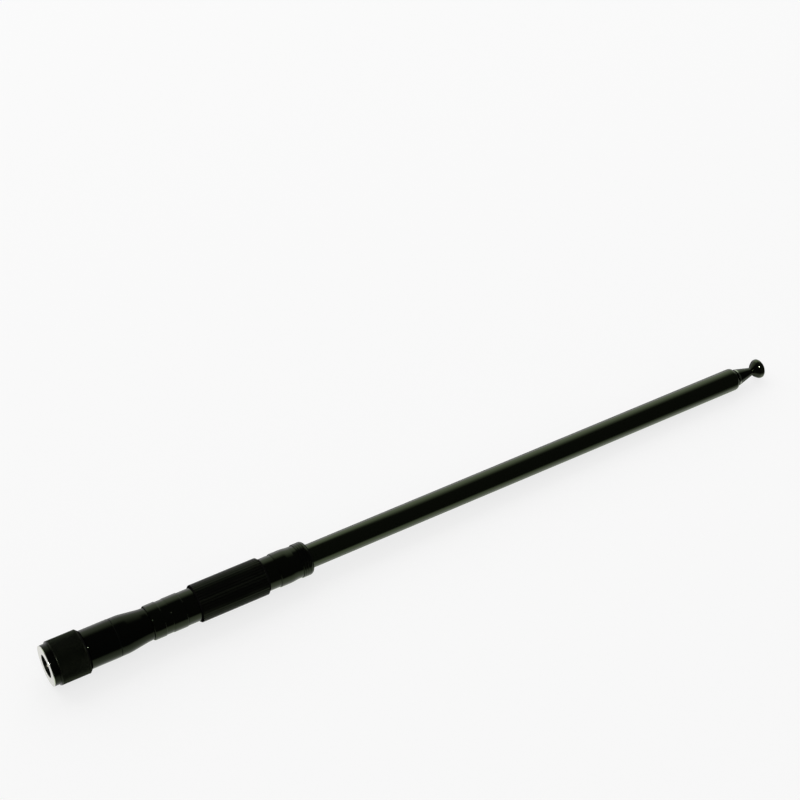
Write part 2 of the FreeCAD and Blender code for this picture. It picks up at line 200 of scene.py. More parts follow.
# one dictionary for each finish: grain and stretch set the noise, rub the wear of the edges
finishes = {
    "coatBlack": {
        "colour": (0.0012, 0.0012, 0.0012), "worn": (0.02, 0.02, 0.018),
        "metal": 0.0, "spec": 0.3, "tint": olive, "smooth": 0.05, "rough": 0.11,
        "grain": 1600, "stretch": (1, 1, 1), "height": 0.05, "rub": 0.5,
    },
    "mastBlack": {
        "colour": (0.0014, 0.0014, 0.0013), "worn": (0.03, 0.03, 0.026),
        "metal": 0.0, "spec": 0.68, "tint": olive, "smooth": 0.06, "rough": 0.13,
        "grain": 2600, "stretch": (0.02, 1, 1), "height": 0.08, "rub": 0.5,
    },
    "housingBlack": {
        "colour": (0.0012, 0.0012, 0.0012), "worn": (0.01, 0.01, 0.009),
        "metal": 0.0, "spec": 0.17, "tint": olive, "smooth": 0.05, "rough": 0.12,
        "grain": 900, "stretch": (1, 1, 1), "height": 0.05, "rub": 0.4,
    },
    "knurlBlack": {
        "colour": (0.0022, 0.0022, 0.0021), "worn": (0.015, 0.015, 0.013),
        "metal": 0.0, "spec": 0.2, "tint": olive, "smooth": 0.32, "rough": 0.45,
        "grain": 2200, "stretch": (1, 1, 1), "height": 0.2, "rub": 0.5,
    },
    "noseBlack": {
        "colour": (0.0018, 0.0018, 0.0017), "worn": (0.02, 0.02, 0.018),
        "metal": 0.0, "spec": 0.1, "tint": olive, "smooth": 0.12, "rough": 0.22,
        "grain": 2000, "stretch": (0.2, 1, 1), "height": 0.15, "rub": 0.5,
    },
    # the black coat made matte, with no gloss at all, for bevels and groove walls: painted shade that
    # keeps them dark
    "paintedShadeBlack": {
        "colour": (0.005, 0.005, 0.0047), "worn": (0.015, 0.015, 0.013),
        "metal": 0.0, "spec": 0.0, "tint": olive, "smooth": 0.2, "rough": 0.3,
        "grain": 2000, "stretch": (1, 1, 1), "height": 0.1, "rub": 0.5,
    },
    "gripBlack": {
        "colour": (0.0028, 0.0028, 0.0027), "worn": (0.015, 0.015, 0.013),
        "metal": 0.0, "spec": 0.25, "tint": olive, "smooth": 0.14, "rough": 0.24,
        "grain": 2200, "stretch": (1, 1, 1), "height": 0.1, "rub": 0.5,
    },
    # near black for the inside of the bore and the thread: painted shade in the recess
    "boreShadeBlack": {
        "colour": (0.002, 0.002, 0.002), "worn": (0.05, 0.05, 0.045),
        "metal": 0.0, "spec": 0.1, "tint": olive, "smooth": 0.3, "rough": 0.5,
        "grain": 1800, "stretch": (1, 1, 1), "height": 0.2, "rub": 0.3,
    },
    "nickel": {
        "colour": (0.62, 0.62, 0.56), "worn": (0.52, 0.5, 0.43),
        "metal": 1.0, "spec": 0.5, "tint": plain, "smooth": 0.12, "rough": 0.26,
        "grain": 1500, "stretch": (1, 1, 1), "height": 0.12, "rub": 0.4,
    },
    "buttonBlack": {
        "colour": (0.0012, 0.0012, 0.0012), "worn": (0.02, 0.02, 0.018),
        "metal": 0.0, "spec": 0.9, "tint": olive, "smooth": 0.04, "rough": 0.07,
        "grain": 1600, "stretch": (1, 1, 1), "height": 0.03, "rub": 0.3,
    },
    "bareRim": {
        "colour": (0.42, 0.43, 0.4), "worn": (0.28, 0.28, 0.26),
        "metal": 1.0, "spec": 0.5, "tint": plain, "smooth": 0.1, "rough": 0.2,
        "grain": 1800, "stretch": (1, 1, 1), "height": 0.1, "rub": 0.3,
    },
    "pinGold": {
        "colour": (0.6, 0.53, 0.4), "worn": (0.5, 0.44, 0.34),
        "metal": 1.0, "spec": 0.5, "tint": plain, "smooth": 0.18, "rough": 0.3,
        "grain": 2000, "stretch": (1, 1, 1), "height": 0.1, "rub": 0.3,
    },
    "brass": {
        "colour": (0.62, 0.45, 0.2), "worn": (0.4, 0.27, 0.12),
        "metal": 1.0, "spec": 0.5, "tint": plain, "smooth": 0.22, "rough": 0.4,
        "grain": 1700, "stretch": (0.1, 1, 1), "height": 0.2, "rub": 0.5,
    },
    "bronze": {
        "colour": (0.6, 0.36, 0.17), "worn": (0.4, 0.22, 0.1),
        "metal": 1.0, "spec": 0.5, "tint": plain, "smooth": 0.25, "rough": 0.42,
        "grain": 2400, "stretch": (0.1, 1, 1), "height": 0.2, "rub": 0.5,
    },
    "whiteInsulator": {
        "colour": (0.78, 0.78, 0.74), "worn": (0.6, 0.58, 0.52),
        "metal": 0.0, "spec": 0.4, "tint": plain, "smooth": 0.4, "rough": 0.6,
        "grain": 1400, "stretch": (1, 1, 1), "height": 0.2, "rub": 0.3,
    },
}


def makeFinish(name):
    look = finishes[name]
    material = bpy.data.materials.new(name)
    material.use_nodes = True
    tree = material.node_tree
    shader = tree.nodes["Principled BSDF"]
    shader.location = (500, 0)
    tree.nodes["Material Output"].location = (850, 0)
    place = addNode(tree, "ShaderNodeTexCoord", (-1000, 0))
    mapping = addNode(tree, "ShaderNodeMapping", (-800, 0))
    mapping.inputs["Scale"].default_value = look["stretch"]
    grain = addNode(tree, "ShaderNodeGroup", (-550, -150), node_tree=finishGrain)
    grain.inputs["Grain Size"].default_value = look["grain"]
    grain.inputs["Smoothest"].default_value = look["smooth"]
    grain.inputs["Roughest"].default_value = look["rough"]
    grain.inputs["Grain Height"].default_value = look["height"]
    rubbed = addNode(tree, "ShaderNodeGroup", (-550, 200), node_tree=rubbedEdges)
    rubbed.inputs["Amount"].default_value = look["rub"]
    ramp = addNode(tree, "ShaderNodeMapRange", (-250, -300))
    ramp.inputs["To Min"].default_value = 1 - shadeDrift
    ramp.inputs["To Max"].default_value = 1 + shadeDrift
    shade = addNode(tree, "ShaderNodeVectorMath", (-30, -200), operation="SCALE")
    shade.inputs[0].default_value = look["colour"]
    colour = addNode(tree, "ShaderNodeMix", (200, 150), data_type="RGBA")
    colour.inputs["B"].default_value = (*look["worn"], 1)
    link(tree, place.outputs["Object"], mapping.inputs["Vector"])
    link(tree, mapping.outputs["Vector"], grain.inputs["Vector"])
    link(tree, place.outputs["Object"], rubbed.inputs["Vector"])
    link(tree, grain.outputs["Shade"], ramp.inputs["Value"])
    link(tree, ramp.outputs["Result"], shade.inputs["Scale"])
    link(tree, shade.outputs["Vector"], colour.inputs["A"])
    link(tree, rubbed.outputs["Mask"], colour.inputs["Factor"])
    link(tree, colour.outputs["Result"], shader.inputs["Base Color"])
    link(tree, grain.outputs["Roughness"], shader.inputs["Roughness"])
    link(tree, grain.outputs["Normal"], shader.inputs["Normal"])
    shader.inputs["Metallic"].default_value = look["metal"]
    shader.inputs["Specular IOR Level"].default_value = look["spec"]
    shader.inputs["Specular Tint"].default_value = look["tint"]
    return material


paint = {name: makeFinish(name) for name in finishes}


winding = {
    "turns": 500,
    "uneven": 0.3,
    "resin": (0.10, 0.035, 0.015, 1),
    "copper": (0.42, 0.17, 0.07, 1),
}


# the potted winding: copper turns under brown resin
def makeWinding():
    material = paint["whiteInsulator"].copy()
    material.name = "winding"
    tree = material.node_tree
    place = addNode(tree, "ShaderNodeTexCoord", (-1000, 450))
    turns = addNode(tree, "ShaderNodeTexWave", (-700, 450), bands_direction="X")
    turns.wave_profile = "SIN"
    turns.inputs["Scale"].default_value = winding["turns"]
    turns.inputs["Distortion"].default_value = winding["uneven"]
    colour = addNode(tree, "ShaderNodeMix", (-300, 450), data_type="RGBA")
    colour.inputs["A"].default_value = winding["resin"]
    colour.inputs["B"].default_value = winding["copper"]
    link(tree, place.outputs["Object"], turns.inputs["Vector"])
    link(tree, turns.outputs["Fac"], colour.inputs["Factor"])
    link(tree, colour.outputs["Result"], tree.nodes["Principled BSDF"].inputs["Base Color"])
    return material


paint["winding"] = makeWinding()
print("finishes made:", len(paint))

# lengths in millimetres, angles in degrees
turning = {
    "supportOver": 1.1,
    "supportReach": 0.12,
    "merge": 0.002,
    "bevelOver": 28,
    "bevelSteps": 3,
    "smoothUnder": 32,
}


# two more rings near the ends of each long stretch keep its shading straight
def supported(stations):
    reach = turning["supportReach"]
    result = [stations[0]]
    for last, place in zip(stations, stations[1:]):
        length = math.dist(last, place)
        if length > turning["supportOver"]:
            for share in (reach / length, 1 - reach / length):
                result.append(tuple(a + (b - a) * share for a, b in zip(last, place)))
        result.append(place)
    return result


def startRing(name, place, radius, around):
    bpy.ops.object.select_all(action="DESELECT")
    bpy.ops.mesh.primitive_circle_add(
        vertices=around,
        radius=radius * mm,
        location=(place * mm, 0, 0),
        rotation=(0, math.radians(90), 0),
    )
    piece = bpy.context.object
    piece.name = name
    piece.data.name = name
    bpy.ops.object.transform_apply(location=True, rotation=True, scale=True)
    bpy.ops.object.mode_set(mode="EDIT")
    bpy.ops.mesh.select_all(action="SELECT")
    return piece


# a ring of points is extruded along the axis from station to station, each a (place, radius)
def turnPiece(name, stations, finish, around=96, bevel=0.05, closed=True):
    rings = supported(stations + [stations[0]] if closed else stations)
    last = rings[0]
    piece = startRing(name, *last, around)
    for place, radius in rings[1:]:
        step = ((place - last[0]) * mm, 0, 0)
        bpy.ops.mesh.extrude_region_move(TRANSFORM_OT_translate={"value": step})
        if abs(radius - last[1]) > 1e-9:
            ratio = radius / last[1]
            centre = (place * mm, 0, 0)
            bpy.ops.transform.resize(value=(1, ratio, ratio), center_override=centre)
        last = (place, radius)
    bpy.ops.mesh.select_all(action="SELECT")
    bpy.ops.mesh.remove_doubles(threshold=turning["merge"] * mm)
    if not closed:  # the open first ring is filled
        bpy.ops.mesh.select_all(action="DESELECT")
        bpy.ops.mesh.select_non_manifold()
        bpy.ops.mesh.fill()
    bpy.ops.mesh.select_all(action="SELECT")
    bpy.ops.mesh.normals_make_consistent(inside=False)
    bpy.ops.object.mode_set(mode="OBJECT")
    if bevel:
        softened = piece.modifiers.new("softEdges", "BEVEL")
        softened.width = bevel * mm
        softened.segments = turning["bevelSteps"]
        softened.limit_method = "ANGLE"
        softened.angle_limit = math.radians(turning["bevelOver"])
        bpy.ops.object.modifier_apply(modifier="softEdges")
    bpy.ops.object.shade_smooth_by_angle(angle=math.radians(turning["smoothUnder"]))
    piece.data.materials.append(paint[finish])
    return piece


def standFor(piece, body, slot, *nodes):
    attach(piece, body)
    if nodes:
        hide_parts(*nodes)


def span(node):
    low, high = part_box(node)
    return low[0] / mm, high[0] / mm


# faces whose centre is chosen get another finish
def paintFaces(piece, finish, chosen):
    piece.data.materials.append(paint[finish])
    number = len(piece.data.materials) - 1
    for face in piece.data.polygons:
        if chosen(face.center / mm):
            face.material_index = number


# bright bush that carries the thread
insert = {
    "lip": 3.38,
    "lead": 0.22,
    "bore": 3.175,
    "flange": 0.2,
    "face": 5.9,
    "body": 4.5,
    "tail": 2.72,
    "depth": 6.2,
}


def makeInsert():
    front, rear = span("threaded_insert")
    piece = turnPiece(
        "brightBush",
        [
            (front, insert["lip"]),
            (front, insert["face"]),
            (front + insert["flange"], insert["face"]),
            (front + insert["flange"], insert["body"]),
            (rear, insert["body"]),
            (rear, insert["tail"]),
            (front + insert["depth"], insert["tail"]),
            (front + insert["depth"], insert["bore"]),
            (front + insert["lead"], insert["bore"]),
        ],
        "nickel",
    )
    lip, lead = insert["lip"], insert["lead"] / 2
    # the bore wall behind the lip is painted near black: painted shade inside the bore
    paintFaces(piece, "boreShadeBlack", lambda c: math.hypot(c.y, c.z) < lip and c.x > lead)
    standFor(piece, "coupling", "plated", "threaded_insert")


# 36 turns to the inch
thread = {
    "pitch": 0.7056,
    "root": 3.185,
    "crest": 2.8,
    "foot": 0.6,
    "top": 0.1,
    "start": 0.55,
    "turns": 6,
    "steps": 56,
}


# one closed ridge, swept along a helix
def makeThread():
    half, root = thread["foot"] / 2, thread["root"]
    top, crest = thread["top"] / 2, thread["crest"]
    corners = [(-half, root), (half, root), (-top, crest), (top, crest)]
    bpy.ops.object.select_all(action="DESELECT")
    bpy.ops.mesh.primitive_plane_add(size=2 * mm)
    piece = bpy.context.object
    piece.name = "coaxThread"
    for point, (along, up) in zip(piece.data.vertices, corners):
        point.co = Vector(((along + thread["start"]) * mm, 0, up * mm))
    bpy.ops.object.mode_set(mode="EDIT")
    bpy.ops.mesh.select_all(action="SELECT")
    bpy.ops.mesh.delete(type="ONLY_FACE")
    bpy.ops.object.mode_set(mode="OBJECT")
    sweep = piece.modifiers.new("helix", "SCREW")
    sweep.axis = "X"
    sweep.angle = math.radians(360) * thread["turns"]
    sweep.screw_offset = thread["pitch"] * thread["turns"] * mm
    sweep.steps = thread["steps"] * thread["turns"]
    sweep.render_steps = sweep.steps
    bpy.ops.object.modifier_apply(modifier="helix")
    bpy.ops.object.mode_set(mode="EDIT")
    bpy.ops.mesh.select_all(action="DESELECT")
    bpy.ops.mesh.select_non_manifold()
    bpy.ops.mesh.fill()
    bpy.ops.mesh.select_all(action="SELECT")
    bpy.ops.mesh.normals_make_consistent(inside=False)
    bpy.ops.object.mode_set(mode="OBJECT")
    bpy.ops.object.shade_smooth_by_angle(angle=math.radians(turning["smoothUnder"]))
    # the thread is painted near black: painted shade inside the bore
    piece.data.materials.append(paint["boreShadeBlack"])
    standFor(piece, "coupling", "plated")


# coupling sleeve with a dull nose and a fine diamond knurl
sleeve = {
    "bore": 4.53,
    "nose": 5.9,
    "noseLength": 1.6,
    "noseBevel": 0.08,
    "outer": 6.4,
    "frontBevel": 0.35,
    "frontRound": (0.25, 0.33),
    "rearBevel": 0.55,
    "around": 160,
    "valley": 6.24,
    "smoothUnder": 25,
}


# every second point of a fine grid is pulled in, and the quads are split between them
def makeSleeve():
    front, rear = span("coupling_sleeve")
    wide = front + sleeve["noseLength"]
    knurlFront = wide + sleeve["frontBevel"]
    knurlRear = rear - sleeve["rearBevel"]
    outer, bevel = sleeve["outer"], sleeve["frontBevel"]
    along, down = sleeve["frontRound"]
    pitch = 4 * math.pi * outer / sleeve["around"]
    rows = 2 * round((knurlRear - knurlFront) / pitch)
    step = (knurlRear - knurlFront) / rows
    stations = [
        (front, sleeve["bore"]),
        (front, sleeve["nose"] - sleeve["noseBevel"]),
        (front + sleeve["noseBevel"], sleeve["nose"]),
        (wide, sleeve["nose"]),
        (wide, outer - bevel),
        (wide + bevel * along, outer - bevel * down),
    ]
    stations += [(knurlFront + step * row, outer) for row in range(rows + 1)]
    stations += [(rear, outer - sleeve["rearBevel"]), (rear, sleeve["bore"])]
    piece = turnPiece("knurledSleeve", stations, "knurlBlack", around=sleeve["around"], bevel=0)
    paintFaces(piece, "noseBlack", lambda c: not knurlFront < c.x < knurlRear)
    # the rear bevel gets the matte black: painted shade on that edge
    paintFaces(piece, "paintedShadeBlack", lambda c: c.x > knurlRear)
    for point in piece.data.vertices:
        place, radius = point.co.x / mm, math.hypot(point.co.y, point.co.z) / mm
        row = round((place - knurlFront) / step)
        column = round(math.atan2(point.co.z, point.co.y) / (2 * math.pi) * sleeve["around"])
        onKnurl = 0 < row < rows and abs(radius - outer) < hairsBreadth
        point.select = onKnurl and (row + column) % 2 == 1
    for edge in piece.data.edges:
        edge.select = False
    for face in piece.data.polygons:
        face.select = False
    bpy.ops.object.mode_set(mode="EDIT")
    bpy.context.tool_settings.mesh_select_mode = (True, False, False)
    ratio = sleeve["valley"] / outer
    bpy.ops.transform.resize(value=(1, ratio, ratio), center_override=(0, 0, 0))
    bpy.ops.mesh.select_all(action="SELECT")
    bpy.ops.mesh.quads_convert_to_tris(quad_method="SHORTEST_DIAGONAL", ngon_method="BEAUTY")
    bpy.ops.object.mode_set(mode="OBJECT")
    bpy.ops.object.shade_smooth_by_angle(angle=math.radians(sleeve["smoothUnder"]))
    standFor(piece, "coupling", "black_metal", "coupling_sleeve")


# bright shell of the plug, grooved for the ring that holds the coupling
plug = {
    "inner": 2.08,
    "outer": 2.3,
    "shankAt": 4.4,
    "shank": 2.66,
    "play": 0.03,
    "groove": 2.36,
    "flange": 4.4,
    "flangeLength": 2.4,
}


def makePlug():
    front, rear = span("plug_body")
    ringFront, ringRear = span("retaining_ring")
    grooveFront, grooveRear = ringFront - plug["play"], ringRear + plug["play"]
    flange = rear - plug["flangeLength"]
    piece = turnPiece(
        "plugShell",
        [
            (front, plug["inner"]),
            (front, plug["outer"]),
            (plug["shankAt"], plug["outer"]),
            (plug["shankAt"], plug["shank"]),
            (grooveFront, plug["shank"]),
            (grooveFront, plug["groove"]),
            (grooveRear, plug["groove"]),
            (grooveRear, plug["shank"]),
            (flange, plug["shank"]),
            (flange, plug["flange"]),
            (rear, plug["flange"]),
            (rear, plug["inner"]),
        ],
        "nickel",
        around=72,
        bevel=0.04,
    )
    standFor(piece, "base", "plated", "plug_body")


insulator = {"inner": 0.68, "outer": 2.05}


def makeInsulator():
    front, rear = span("dielectric")
    piece = turnPiece(
        "insulatorCore",
        [
            (front, insulator["inner"]),
            (front, insulator["outer"]),
            (rear, insulator["outer"]),
            (rear, insulator["inner"]),
        ],
        "whiteInsulator",
        around=72,
    )
    standFor(piece, "base", "insulator", "dielectric")


pin = {"radius": 0.46, "tip": 0.2, "point": (0.06, 0.09), "nose": 0.45, "stem": 0.65, "tail": 1.0}


def makePin():
    front, rear = span("centre_pin")
    stem = span("dielectric")[0]
    tail = span("matching_coil")[0]
    piece = turnPiece(
        "contactPin",
        [
            (front, pin["tip"]),
            (front + pin["point"][0], pin["tip"] + pin["point"][1]),
            (front + pin["nose"], pin["radius"]),
            (stem, pin["radius"]),
            (stem, pin["stem"]),
            (tail, pin["stem"]),
            (tail, pin["tail"]),
            (rear, pin["tail"]),
            (rear, 0.0),
        ],
        "pinGold",
        around=48,
        bevel=0.03,
        closed=False,
    )
    standFor(piece, "base", "gold", "centre_pin")


makeInsert()
makeThread()
makeSleeve()
makePlug()
makeInsulator()
makePin()
print("connector made")

# moulded housing with a fine line and a soft taper
housing = {
    "bore": 4.43,
    "barrel": 5.575,
    "bevel": 0.16,
    "lineAt": 8.7,
    "lineWidth": 0.36,
    "lineDepth": 0.13,
    "lineFloor": (0.4, 0.6),
    "shadeTo": 0.62,
    "shoulder": 5.53,
    "taperAt": 11.5,
    "taperCurve": ((-0.9, 0), (-0.3, 0.1), (0.3, 0.42), (0.9, 0.9)),
    "kneeAt": 17.5,
    "kneeCurve": ((-0.9, 0.9, 0), (-0.3, 0.38, 0), (0.3, 0, 0.01), (0.9, 0, 0.04)),
    "knee": 4.7,
    "end": 4.58,
    "footBore": 2.53,
    "rearWall": 4.7,
}


def makeHousing():
    front, rear = span("housing")
    line, width = front + housing["lineAt"], housing["lineWidth"]
    deep = housing["barrel"] - housing["lineDepth"]
    taper, knee = front + housing["taperAt"], front + housing["kneeAt"]
    slope = (housing["knee"] - housing["shoulder"]) / (knee - taper)
    taperCurve = [
        (taper + along, housing["shoulder"] + slope * share)
        for along, share in housing["taperCurve"]
    ]
    kneeCurve = [
        (knee + along, housing["knee"] - slope * share - drop)
        for along, share, drop in housing["kneeCurve"]
    ]
    piece = turnPiece(
        "housingShell",
        [
            (front, housing["bore"]),
            (front, housing["barrel"] - housing["bevel"]),
            (front + housing["bevel"], housing["barrel"]),
            (line, housing["barrel"]),
            (line + width * housing["lineFloor"][0], deep),
            (line + width * housing["lineFloor"][1], deep),
            (line + width, housing["shoulder"]),
            *taperCurve,
            *kneeCurve,
            (rear, housing["end"]),
            (rear, housing["footBore"]),
            (rear - housing["rearWall"], housing["footBore"]),
            (rear - housing["rearWall"], housing["bore"]),
        ],
        "housingBlack",
        around=128,
        bevel=0.04,
    )
    # the front part of the fine line gets the matte black: painted shade in the groove
    shadeTo, inside = line + width * housing["shadeTo"], (housing["bore"] + deep) / 2
    paintFaces(piece, "paintedShadeBlack", lambda c: line < c.x < shadeTo and math.hypot(c.y, c.z) > inside)
    standFor(piece, "base", "black_plastic", "housing")


# turned collar with a shallow band
collar = {
    "bore": 2.53,
    "front": 5.05,
    "frontRound": 0.2,
    "frontCurve": ((0, 1), (0.15, 0.6), (0.45, 0.25), (1, 0)),
    "bandAt": 3.4,
    "bandEnd": 5.7,
    "band": 4.89,
    "slope": 0.03,
    "bandRound": 0.3,
    "bandCurve": ((0, 0), (0.15, 0.42), (0.43, 0.75)),
    "rear": 5.01,
    "rearBevel": 0.18,
}


def makeLowerCollar():
    front, rear = span("lower_collar")
    bandFront, bandRear = front + collar["bandAt"], front + collar["bandEnd"]
    soft, bandSoft = collar["frontRound"], collar["bandRound"]
    rise = collar["rear"] - collar["band"]
    frontCurve = [
        (front + soft * along, collar["front"] - soft * down) for along, down in collar["frontCurve"]
    ]
    bandCurve = [
        (bandRear + bandSoft * along, collar["band"] + rise * up) for along, up in collar["bandCurve"]
    ]
    piece = turnPiece(
        "lowerCollar",
        [
            (front, collar["bore"]),
            *frontCurve,
            (bandFront, collar["front"]),
            (bandFront + collar["slope"], collar["band"]),
            *bandCurve,
            (bandRear + bandSoft, collar["rear"]),
            (rear - collar["rearBevel"], collar["rear"]),
            (rear, collar["rear"] - collar["rearBevel"]),
            (rear, collar["bore"]),
        ],
        "coatBlack",
        around=128,
    )
    standFor(piece, "base", "black_metal", "lower_collar")


# grip with straight splines between two plain necks
grip = {
    "bore": 2.53,
    "frontNeck": 4.86,
    "frontLength": 3.85,
    "neckBevel": 0.1,
    "crest": 5.525,
    "valley": 5.22,
    "frontBevel": 0.35,
    "rearBevel": 0.7,
    "length": 21.45,
    "rearNeck": 4.8,
    "rearBore": 4.0,
    "frontWall": 3.7,
    "splines": 40,
    "pointsEach": 6,
    "shoulderDepth": 0.42,
    "smoothUnder": 24,
}


# one point of each spline lies in the valley, and its neighbours halfway down
def makeGrip():
    front, rear = span("grip_sleeve")
    first = front + grip["frontLength"]
    last = first + grip["length"]
    around = grip["splines"] * grip["pointsEach"]
    piece = turnPiece(
        "splinedGrip",
        [
            (front, grip["bore"]),
            (front, grip["frontNeck"] - grip["neckBevel"]),
            (front + grip["neckBevel"], grip["frontNeck"]),
            (first, grip["frontNeck"]),
            (first, grip["crest"] - grip["frontBevel"]),
            (first + grip["frontBevel"], grip["crest"]),
            (last - grip["rearBevel"], grip["crest"]),
            (last, grip["crest"] - grip["rearBevel"]),
            (last, grip["rearNeck"]),
            (rear - grip["neckBevel"], grip["rearNeck"]),
            (rear, grip["rearNeck"] - grip["neckBevel"]),
            (rear, grip["rearBore"]),
            (front + grip["frontWall"], grip["rearBore"]),
            (front + grip["frontWall"], grip["bore"]),
        ],
        "gripBlack",
        around=around,
        bevel=0,
    )
    bpy.ops.object.mode_set(mode="EDIT")
    bpy.context.tool_settings.mesh_select_mode = (True, False, False)
    for depth, columns in ((1.0, (0,)), (grip["shoulderDepth"], (1, grip["pointsEach"] - 1))):
        bpy.ops.mesh.select_all(action="DESELECT")
        bpy.ops.object.mode_set(mode="OBJECT")
        for point in piece.data.vertices:
            radius = math.hypot(point.co.y, point.co.z) / mm
            column = round(math.atan2(point.co.z, point.co.y) / (2 * math.pi) * around)
            onCrest = abs(radius - grip["crest"]) < hairsBreadth
            point.select = onCrest and column % grip["pointsEach"] in columns
        bpy.ops.object.mode_set(mode="EDIT")
        ratio = 1 - depth * (1 - grip["valley"] / grip["crest"])
        bpy.ops.transform.resize(value=(1, ratio, ratio), center_override=(0, 0, 0))
    bpy.ops.mesh.select_all(action="SELECT")
    bpy.ops.mesh.normals_make_consistent(inside=False)
    bpy.ops.object.mode_set(mode="OBJECT")
    low, high = first - hairsBreadth, last + hairsBreadth
    edgeEnd, edgeStart = first + grip["frontBevel"], last - grip["rearBevel"]
    paintFaces(piece, "coatBlack", lambda c: c.x < low or c.x > high)
    # the bevels at both ends of the splines get the matte black: painted shade on these edges
    paintFaces(piece, "paintedShadeBlack", lambda c: low < c.x < edgeEnd or edgeStart < c.x < high)
    bpy.ops.object.shade_smooth_by_angle(angle=math.radians(grip["smoothUnder"]))
    standFor(piece, "base", "black_metal", "grip_sleeve")


# turned collar with a tapered rear
upper = {
    "bore": 4.0,
    "barrel": 5.02,
    "bevel": 0.12,
    "barrelLength": 3.5,
    "barrelSoft": (0.4, 0.035),
    "taperLength": 2.4,
    "taperSoft": (0.3, 0.03),
    "rear": 4.75,
    "mastBore": 3.55,
    "reach": 3.03,
}


def makeUpperCollar():
    front, rear = span("upper_collar")
    taper = front + upper["barrelLength"]
    reach, drop = upper["barrelSoft"]
    endReach, rise = upper["taperSoft"]
    piece = turnPiece(
        "upperCollar",
        [
            (front, upper["bore"]),
            (front, upper["barrel"] - upper["bevel"]),
            (front + upper["bevel"], upper["barrel"]),
            (taper - reach, upper["barrel"]),
            (taper + reach, upper["barrel"] - drop),
            (taper + upper["taperLength"] - endReach, upper["rear"] + rise),
            (rear, upper["rear"]),
            (rear, upper["mastBore"]),
            (front + upper["reach"], upper["mastBore"]),
            (front + upper["reach"], upper["bore"]),
        ],
        "coatBlack",
        around=128,
        bevel=0.04,
    )
    standFor(piece, "base", "black_metal", "upper_collar")


# end ring with three fine lines and a rounded rear edge
endRing = {
    "bore": 3.55,
    "outer": 5.0,
    "frontBevel": 0.08,
    "lineAt": (0.45, 1.2, 1.95),
    "lineWidth": 0.26,
    "lineDepth": 0.13,
    "lineFloor": (0.4, 0.6),
    "round": 1.2,
    "roundSteps": 6,
    "shadeShare": 0.6,
}


def makeEndRing():
    front, rear = span("end_ring")
    outer, width, bevel = endRing["outer"], endRing["lineWidth"], endRing["frontBevel"]
    deep, curve = outer - endRing["lineDepth"], endRing["round"]
    stations = [(front, endRing["bore"]), (front, outer - bevel), (front + bevel, outer)]
    for line in endRing["lineAt"]:
        stations += [
            (front + line, outer),
            (front + line + width * endRing["lineFloor"][0], deep),
            (front + line + width * endRing["lineFloor"][1], deep),
            (front + line + width, outer),
        ]
    for step in range(endRing["roundSteps"] + 1):
        angle = math.radians(90) * step / endRing["roundSteps"]
        along, down = 1 - math.sin(angle), 1 - math.cos(angle)
        stations.append((rear - curve * along, outer - curve * down))
    stations.append((rear, endRing["bore"]))
    piece = turnPiece("endRing", stations, "coatBlack", around=128, bevel=0)
    # the rounded rear edge gets the matte black: painted shade on it
    shadeFrom = rear - curve * endRing["shadeShare"]
    paintFaces(piece, "paintedShadeBlack", lambda c: c.x > shadeFrom)
    standFor(piece, "base", "black_metal", "end_ring")


makeHousing()
makeLowerCollar()
makeGrip()
makeUpperCollar()
makeEndRing()
print("base made")

# five drawn tubes, each a step smaller than the one round it
mast = {
    "count": 5,
    "radius": 3.5,
    "step": 0.55,
    "wall": 0.25,
    "play": 0.05,
    "mouth": 1.1,
    "roll": 0.42,
    "rollAngle": 62,
    "rollSteps": 6,
    "lip": 0.5,
    "foot": 5.5,
    "footSlope": 0.1,
    "neck": 0.12,
    "mouthBack": 0.9,
    "lastBack": 1.45,
}


# the mouths are seen a little nearer the grip than in the solids
def makeTube(number):
    front, rear = span(f"mast_tube_{number}")
    rear -= mast["lastBack"] if number == mast["count"] else mast["mouthBack"]
    outer = mast["radius"] - (number - 1) * mast["step"]
    inner = outer - mast["wall"]
    stations = [(front, inner), (front, outer)]
    if number > 1:  # the neck that holds the slide spring
        stations += [
            (front + mast["lip"], outer),
            (front + mast["lip"], outer - mast["neck"]),
            (front + mast["foot"] - mast["footSlope"], outer - mast["neck"]),
            (front + mast["foot"], outer),
        ]
    if number == mast["count"]:
        stations += [(rear, outer), (rear, inner)]
    else:  # the mouth is rolled in on a soft curve
        full = math.radians(mast["rollAngle"])
        for step in range(mast["rollSteps"] + 1):
            angle = full * step / mast["rollSteps"]
            along = math.sin(angle) / math.sin(full)
            drop = (1 - math.cos(angle)) / (1 - math.cos(full))
            stations.append((rear - mast["mouth"] * (1 - along), outer - mast["roll"] * drop))
        lip = outer - mast["step"] + mast["play"]
        stop = rear - mast["mouth"] + mast["mouthBack"]
        stations += [(rear, lip), (stop, lip), (stop, inner)]
    piece = turnPiece(f"mastTube{number}", stations, "mastBlack", bevel=0.03)
    body = "base" if number == 1 else f"section_{number}"
    standFor(piece, body, "mast_metal", f"mast_tube_{number}")


for tubeNumber in range(1, mast["count"] + 1):
    makeTube(tubeNumber)
print("mast made")

# cone and button on the smallest tube
tip = {
    "shank": 1.02,
    "shankLength": 6.0 - mast["lastBack"],
    "shankBevel": (0.15, 0.1),
    "base": 2.6,
    "rim": 0.4,
    "coneEnd": 4.4 + mast["lastBack"],
    "neck": 1.2,
    "neckCurve": ((-0.5, 0.16), (0, 0), (0.35, 0.24), (1.1, 1.0)),
    "rimAt": 6.8 + mast["lastBack"],
    "rimCurve": ((-0.5, 0.3), (0, 0.04)),
    "button": 3.06,
    "buttonEdge": 0.05,
    "rimWidth": 0.7,
    "dome": 1.4,
    "domeSteps": 12,
}


